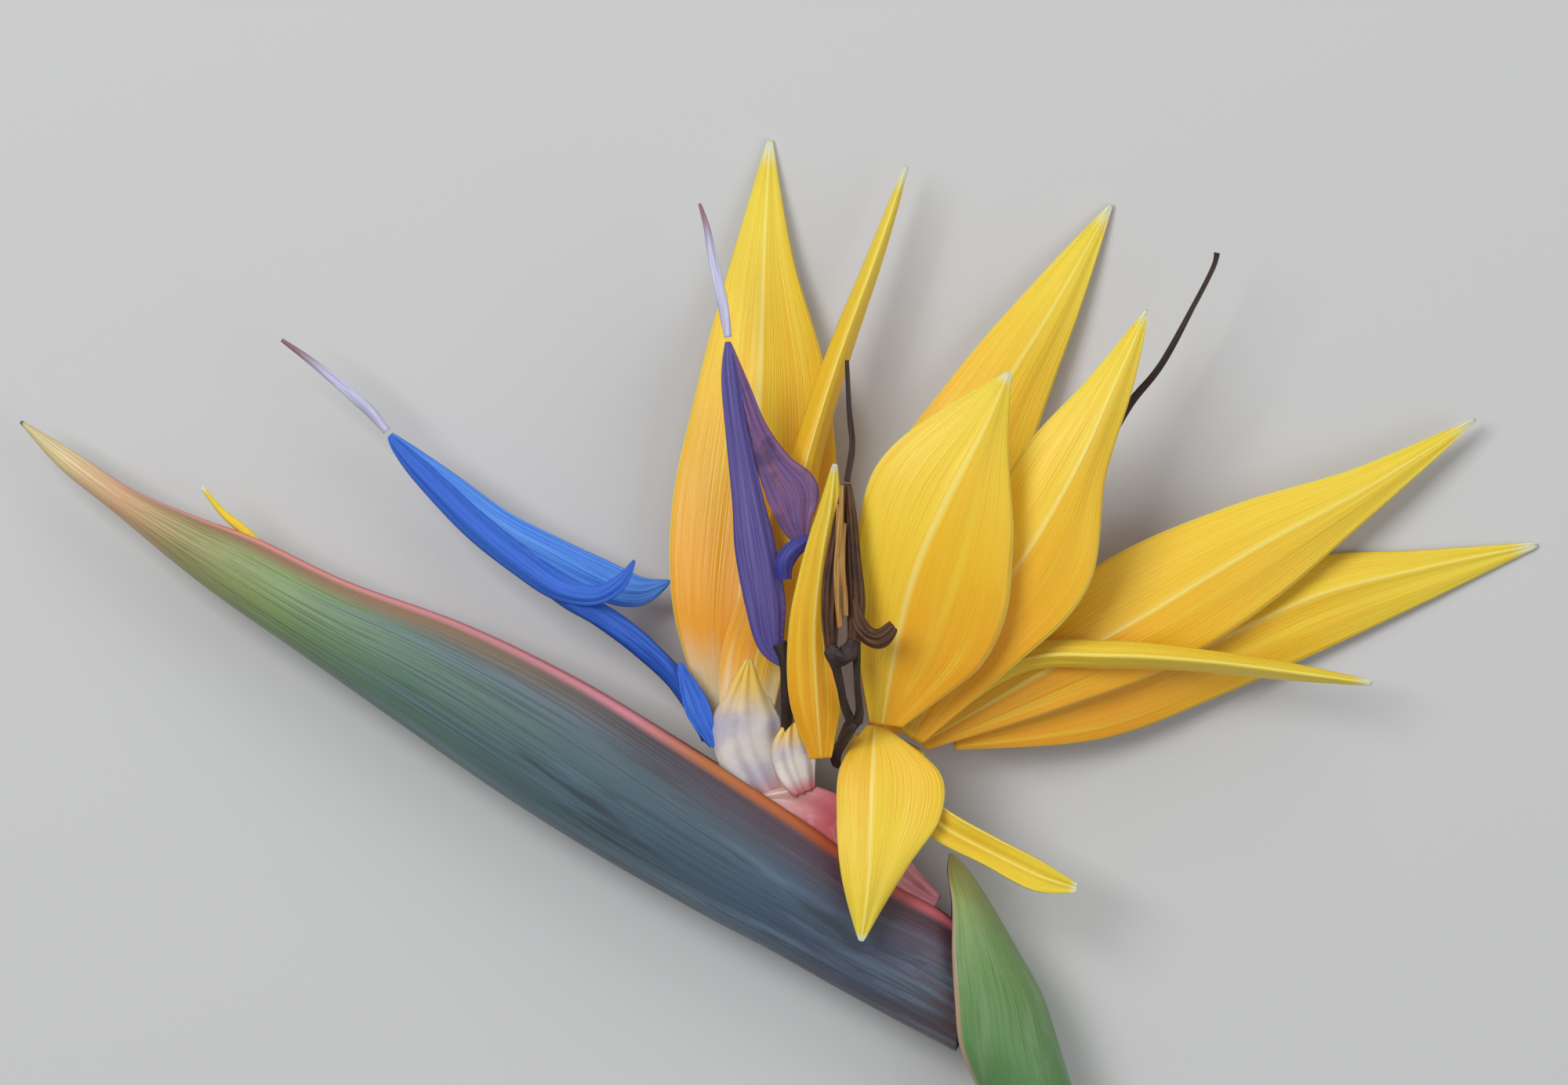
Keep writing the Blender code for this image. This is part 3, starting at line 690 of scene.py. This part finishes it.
def streaked_material(
    name, first, second, tip=None, dark=None, across=30.0, roughness=0.5, bump=0.0003
):
    """Two colours in fine lengthwise streaks, with an optional tip colour and darker blotches."""
    n = Nodes(name)
    _, up = n.uv()
    veins = n.streaks(across, 3.0, 3.0)
    colour = n.mix(n.ramp(veins, 0.38, 0.66), first, second)
    if dark:
        blotches = n.math("MULTIPLY", n.ramp(n.grain(220.0, 4.0), 0.5, 0.68), 0.7)
        colour = n.mix(blotches, colour, dark)
    if tip:
        colour = n.mix(n.ramp(up, 0.5, 0.9), colour, tip)
    return n.finish(colour, veins, bump, roughness, 0.08)


def bract_material():
    """Moist membrane: whitish to the left, then pink, then deep red."""
    n = Nodes("bract_pink")
    across, up = n.uv()
    colour = n.colours(
        up,
        (
            (0.1, (0.62, 0.42, 0.36)),
            (0.3, (0.62, 0.18, 0.2)),
            (0.5, (0.48, 0.03, 0.05)),
            (0.8, (0.66, 0.22, 0.26)),
        ),
    )
    flecks = n.math("MULTIPLY", n.ramp(n.grain(260.0, 4.0), 0.45, 0.7), 0.5)
    colour = n.mix(flecks, colour, (0.75, 0.42, 0.45))
    edge = n.math("MULTIPLY", n.ramp(across, 0.93, 0.99), 0.8)
    colour = n.mix(edge, colour, (0.55, 0.16, 0.04))
    return n.finish(colour, n.grain(500.0), 0.0002, 0.3, 0.15)


def base_material():
    n = Nodes("base_white")
    _, up = n.uv()
    colour = n.mix(n.ramp(n.grain(140.0, 4.0), 0.4, 0.68), (0.74, 0.66, 0.60), (0.50, 0.47, 0.56))
    colour = n.mix(n.ramp(up, 0.26, 0.02), colour, (0.62, 0.16, 0.18))
    colour = n.mix(n.ramp(up, 0.55, 0.9), colour, (0.92, 0.58, 0.10))
    return n.finish(colour, n.grain(420.0), 0.0002, 0.38, 0.25)


# ---- shapes ----


def link_object(name, data, material, *nodes):
    """Puts a piece on the root body in place of these nodes."""
    thing = bpy.data.objects.new(name, data)
    bpy.context.scene.collection.objects.link(thing)
    data.materials.append(material)
    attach(thing, "root")
    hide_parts(*nodes)
    return thing


def sheet(name, grid, wall, material, *nodes, offset=0.0, shares=None):
    """A grid of points as a smooth surface with UVs of across and along, and a wall by Solidify."""
    across = len(grid[0])
    faces = [
        (r * across + c, r * across + c + 1, (r + 1) * across + c + 1, (r + 1) * across + c)
        for r in range(len(grid) - 1)
        for c in range(across - 1)
    ]
    mesh = bpy.data.meshes.new(name)
    mesh.from_pydata([point for row in grid for point in row], [], faces)
    chart = mesh.uv_layers.new(name="UVMap")
    for loop in mesh.loops:
        r, c = divmod(loop.vertex_index, across)
        chart.data[loop.index].uv = (c / (across - 1), r / (len(grid) - 1))
    mesh.shade_smooth()
    thing = link_object(name, mesh, material, *nodes)
    solidify = thing.modifiers.new("wall", "SOLIDIFY")
    solidify.thickness = wall * MM
    solidify.offset = offset
    if shares:
        group = thing.vertex_groups.new(name="wall")
        for r, share in enumerate(shares):
            group.add(range(r * across, (r + 1) * across), share, "REPLACE")
        solidify.vertex_group = group.name
    return thing


def blade(name, rows, material, *nodes, rib=RIB_HEIGHT, ruffle=0.25, folds=0.12, beads=0.0):
    """A sepal or petal half: a ribbon with a rib, soft parallel folds and slightly wavy edges."""
    grid = []
    phase = sum(map(ord, name))
    for step in range(BLADE_STEPS + 1):
        share = step / BLADE_STEPS
        x, y, z, left, right, drop = along(rows, share)
        ahead = heading(rows, share)
        side = Vector((-ahead.y, ahead.x, 0.0))
        fade = math.sin(math.pi * min(max(share, 0.0), 1.0)) ** 0.5
        line = []
        for cell in range(BLADE_CELLS + 1):
            reach = 2.0 * cell / BLADE_CELLS - 1.0
            width = left if reach < 0 else right
            wave = ruffle * fade * abs(reach) ** 3 * math.sin(9.0 * share + phase + 2.0 * reach)
            crease = folds * fade * math.cos(3.0 * math.pi * reach + phase)
            ridge = rib * fade * math.exp(-((reach / RIB_WIDTH) ** 2))
            height = z - drop * abs(reach) ** DROP_POWER + ridge + wave + crease
            if beads and cell >= BLADE_CELLS - 2:
                height += beads * fade * math.sin(math.tau * share * BEAD_COUNT)
            offset = side * -reach * width * (1.0 + 0.02 * math.sin(11.0 * share + phase) * fade)
            line.append(world(x + offset.x, y + offset.y, height))
        grid.append(line)
    return sheet(name, grid, PETAL_WALL, material, *nodes)


def hull(name, rows, wall, material, *nodes):
    """A boat-shaped bract: keel and rim are given in plan, and the sides bulge up and down."""
    grid = []
    shares = []
    for step in range(HULL_STEPS + 1):
        keel_x, keel_y, rim_x, rim_y, centre, half, gape, share = along(rows, step / HULL_STEPS)
        keel, rim = Vector((keel_x, keel_y)), Vector((rim_x, rim_y))
        line = []
        for cell in range(HULL_CELLS + 1):
            angle = math.radians(gape) * (2.0 * cell / HULL_CELLS - 1.0)
            height = (1.0 - math.cos(angle)) / (1.0 - math.cos(math.radians(gape)))
            place = keel.lerp(rim, height)
            line.append(world(place.x, place.y, centre + half * math.sin(angle)))
        grid.append(line)
        shares.append(min(max(share, 0.1), 1.0))
    return sheet(name, grid, wall, material, *nodes, offset=1.0, shares=shares)


def stalk(name, rows, material, *nodes, sides=20, lumps=0.03, cap=None):
    """A closed, slightly uneven stalk that tapers along its line, with UVs of round and along."""
    rings = []
    phase = sum(map(ord, name))
    points = [along(rows, step / STALK_STEPS) for step in range(STALK_STEPS + 1)]
    for step, (x, y, z, radius) in enumerate(points):
        before = Vector(points[max(step - 1, 0)][:3])
        after = Vector(points[min(step + 1, STALK_STEPS)][:3])
        ahead = (after - before).normalized()
        side = ahead.cross(Vector((0.0, 0.0, 1.0))).normalized()
        up = side.cross(ahead)
        ring = []
        for number in range(sides):
            angle = math.tau * number / sides
            size = radius * (1.0 + lumps * math.sin(3.0 * angle + phase + 0.25 * step))
            place = Vector((x, y, z)) + side * size * math.cos(angle) + up * size * math.sin(angle)
            ring.append(world(*place))
        rings.append(ring)
    faces = []
    for low in range(0, STALK_STEPS * sides, sides):
        for n in range(sides):
            n_next = (n + 1) % sides
            faces.append((low + n_next, low + n, low + sides + n, low + sides + n_next))
    faces.append(tuple(range(sides)))
    faces.append(tuple(reversed(range(STALK_STEPS * sides, (STALK_STEPS + 1) * sides))))
    mesh = bpy.data.meshes.new(name)
    mesh.from_pydata([point for ring in rings for point in ring], [], faces)
    chart = mesh.uv_layers.new(name="UVMap")
    for face in mesh.polygons:
        corners = [divmod(mesh.loops[index].vertex_index, sides) for index in face.loop_indices]
        at_seam = any(n == sides - 1 for _, n in corners)
        for index, (r, n) in zip(face.loop_indices, corners):
            turn = 1.0 if n == 0 and at_seam else n / sides
            chart.data[index].uv = (turn, r / STALK_STEPS)
    mesh.shade_smooth()
    thing = link_object(name, mesh, material, *nodes)
    if cap:
        mesh.materials.append(cap)
        mesh.polygons[-2].material_index = 1
        mesh.polygons[-2].use_smooth = False
    return thing


# ---- the flower ----

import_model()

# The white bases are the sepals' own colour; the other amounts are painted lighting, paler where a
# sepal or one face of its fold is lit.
SEPAL_LOOKS = {
    "sepal_1_tall": dict(white_base=0.10, painted_lighting=0.0, seed=1.0),
    "sepal_1_narrow": dict(white_base=0.10, painted_lighting_right=0.4, seed=2.0),
    "sepal_2_short": dict(painted_lighting=0.1, seed=3.0),
    "sepal_2_front": dict(painted_lighting=0.2, painted_lighting_left=0.5, seed=4.0),
    "sepal_2_back": dict(painted_lighting=0.0, painted_lighting_right=0.2, seed=5.0),
    "sepal_3_upright": dict(painted_lighting=0.2, painted_lighting_left=0.5, seed=6.0),
    "sepal_3_droop": dict(painted_lighting=0.5, painted_lighting_left=0.3, seed=7.0),
    "sepal_3_channel": dict(painted_lighting=0.6, seed=8.0),
    "sepal_4_upper": dict(white_base=0.0, painted_lighting=0.15, painted_lighting_left=0.3, seed=9.0),
    "sepal_4_lower": dict(painted_lighting=0.1, painted_lighting_left=0.3, seed=10.0),
    "sepal_4_narrow": dict(painted_lighting=0.8, seed=11.0),
}

for node, look in SEPAL_LOOKS.items():
    blade(f"{node}_surface", BLADES[node], sepal_material(f"{node}_yellow", **look), node)

blue = streaked_material("nectary_blue", (0.022, 0.11, 0.60), (0.045, 0.19, 0.72), across=40.0)
# Painted lighting: a paler copy of the blue for the lit half of the first arrow petal.
painted_lit_blue = streaked_material(
    "nectary_painted_lit_blue", (0.045, 0.19, 0.72), (0.12, 0.34, 0.84), across=24.0
)
deep_blue = streaked_material(
    "nectary_blue_stalk", (0.012, 0.07, 0.42), (0.03, 0.14, 0.60), across=16.0
)
purple = streaked_material("nectary_purple", (0.06, 0.05, 0.24), (0.15, 0.11, 0.34), across=34.0)
plum = streaked_material(
    "nectary_plum", (0.10, 0.06, 0.24), (0.26, 0.10, 0.17), dark=(0.05, 0.03, 0.10), across=26.0
)
hook = streaked_material("nectary_hook", (0.03, 0.03, 0.22), (0.06, 0.06, 0.36), across=20.0)
stigma = streaked_material(
    "stigma_pale", (0.62, 0.62, 0.80), (0.42, 0.42, 0.62), tip=(0.28, 0.13, 0.16), across=12.0
)
brown = streaked_material(
    "withered_brown",
    (0.11, 0.038, 0.008),
    (0.04, 0.014, 0.006),
    dark=(0.02, 0.010, 0.006),
    across=18.0,
    roughness=0.6,
    bump=0.0006,
)
dark_brown = streaked_material(
    "withered_dark",
    (0.04, 0.018, 0.012),
    (0.02, 0.010, 0.008),
    across=14.0,
    roughness=0.6,
    bump=0.0006,
)
gold = streaked_material("stamen_gold", (0.50, 0.26, 0.05), (0.26, 0.11, 0.02), across=10.0)
white = base_material()

hull("spathe_surface", SPATHE, 1.2, spathe_material(), "spathe")
hull("sheath_surface", SHEATH, 0.7, sheath_material(), "sheath")
stem_skin, stem_cut = stem_material(), cut_material()
stalk("stem_surface", STALKS["stem"], stem_skin, "stem", sides=40, lumps=0.012, cap=stem_cut)
blade(
    "inner_bract_surface",
    BLADES["inner_bract"],
    bract_material(),
    "inner_bract",
    rib=0.0,
    ruffle=0.5,
    folds=0.3,
)
blade("hood_petal_surface", BLADES["hood_petal_1"], blue, "hood_petal_1", rib=0.1, ruffle=0.2)
for node in ("pedicel_1", "pedicel_2", "pedicel_3", "pedicel_4"):
    stalk(f"{node}_surface", STALKS[node], white, node, lumps=0.05)
for name, rows in SKINS.items():
    blade(name, rows, white, name.removesuffix("_skin"), rib=0.0, ruffle=0.5, folds=0.35)
# Painted lighting makes the bud nearly all pale yellow.
stalk("bud_surface", STALKS["bud_5"], sepal_material("bud_yellow", painted_lighting=0.9, seed=12.0), "bud_5")

# name, material, node, ruffle, folds, beads
PETAL_HALVES = (
    ("nectary_1_far_half", painted_lit_blue, "nectary_1", 0.1, 0.1, 0.0),
    ("nectary_1_near_half", blue, "nectary_1", 0.1, 0.1, 0.16),
    ("nectary_2_right_half", plum, "nectary_2", 0.2, 0.15, 0.0),
    ("nectary_2_left_half", purple, "nectary_2", 0.1, 0.12, 0.16),
    ("nectary_2_hook", hook, "nectary_2", 0.1, 0.05, 0.0),
)
for name, material, node, ruffle, folds, beads in PETAL_HALVES:
    blade(name, HALVES[name], material, node, rib=0.0, ruffle=ruffle, folds=folds, beads=beads)
for half in ("left_half", "right_half", "barb"):
    name = f"nectary_3_{half}"
    blade(name, HALVES[name], brown, "nectary_3", rib=0.15, ruffle=0.2, folds=0.2)

stalk("nectary_1_stalk", HALF_STALKS["nectary_1_stalk"], deep_blue, "nectary_1", lumps=0.08)
stalk("nectary_2_stalk", HALF_STALKS["nectary_2_stalk"], dark_brown, "nectary_2")
for strand in ("lower_stalk", "left_strand", "right_strand", "knob"):
    name = f"nectary_3_{strand}"
    stalk(name, HALF_STALKS[name], dark_brown, "nectary_3", lumps=0.15)
stalk("nectary_4_surface", HALF_STALKS["nectary_4_surface"], brown, "nectary_4", lumps=0.15)
stalk("stigma_1_surface", STALKS["stigma_1"], stigma, "stigma_1", lumps=0.08)
stalk("stigma_2_surface", STALKS["stigma_2"], stigma, "stigma_2", lumps=0.08)
stalk("stigma_3_surface", STALKS["stigma_3"], dark_brown, "stigma_3", lumps=0.25)
stalk("stigma_4_surface", STALKS["stigma_4"], dark_brown, "stigma_4", lumps=0.25)

for number, (x, top, bottom, radius) in enumerate(STAMENS, 1):
    line = []
    for place in (0.0, 0.25, 0.5, 0.75, 1.0):
        bend = STAMEN_BEND * math.sin(place * 5.0 + number)
        height = STAMEN_Z + STAMEN_ARCH * math.sin(math.pi * place)
        line.append((x + bend, top + (bottom - top) * place, height, radius))
    stalk(f"stamen_{number}", line, gold, "stamens_3", lumps=0.2)

# ---- stage ----


def area_light(name, place, aim, size, power, colour=(1.0, 1.0, 1.0)):
    data = bpy.data.lights.new(name, "AREA")
    data.size = size
    data.energy = power
    data.color = colour
    lamp = bpy.data.objects.new(name, data)
    lamp.location = place
    lamp.rotation_euler = (Vector(aim) - Vector(place)).to_track_quat("-Z", "Y").to_euler()
    bpy.context.scene.collection.objects.link(lamp)


floor_mesh = bpy.data.meshes.new("floor")
corners = [(x * FLOOR_REACH, y * FLOOR_REACH, 0.0) for x, y in ((-1, -1), (1, -1), (1, 1), (-1, 1))]
floor_mesh.from_pydata(corners, [], [(0, 1, 2, 3)])
floor = bpy.data.objects.new("floor", floor_mesh)
bpy.context.scene.collection.objects.link(floor)
floor_material = bpy.data.materials.new("floor_pale")
floor_material.use_nodes = True
floor_shader = floor_material.node_tree.nodes["Principled BSDF"]
floor_shader.inputs["Base Color"].default_value = (0.58, 0.58, 0.575, 1.0)
floor_shader.inputs["Roughness"].default_value = 0.8
floor_mesh.materials.append(floor_material)

area_light("key", (-0.7, 0.5, 1.3), (0.0, 0.03, 0.0), 0.7, 14.0)
area_light("fill", (0.9, -0.2, 1.0), (0.0, 0.03, 0.0), 1.0, 4.5)
area_light("top", (0.1, 0.9, 0.7), (0.0, 0.05, 0.0), 0.6, 2.5)

world_light = bpy.data.worlds.new("studio")
world_light.use_nodes = True
background = world_light.node_tree.nodes["Background"]
background.inputs["Color"].default_value = (0.9, 0.93, 1.0, 1.0)
background.inputs["Strength"].default_value = 0.25
bpy.context.scene.world = world_light
bpy.context.scene.view_settings.view_transform = "Standard"

camera_data = bpy.data.cameras.new("camera")
camera_data.sensor_width = 36.0
camera_data.lens = camera_data.sensor_width * (CAMERA_HEIGHT - PICTURE_PLANE) / PICTURE_WIDTH
camera = bpy.data.objects.new("camera", camera_data)
camera.location = (*world(0.0, 0.0, 0.0).xy, CAMERA_HEIGHT)
bpy.context.scene.collection.objects.link(camera)
bpy.context.scene.camera = camera
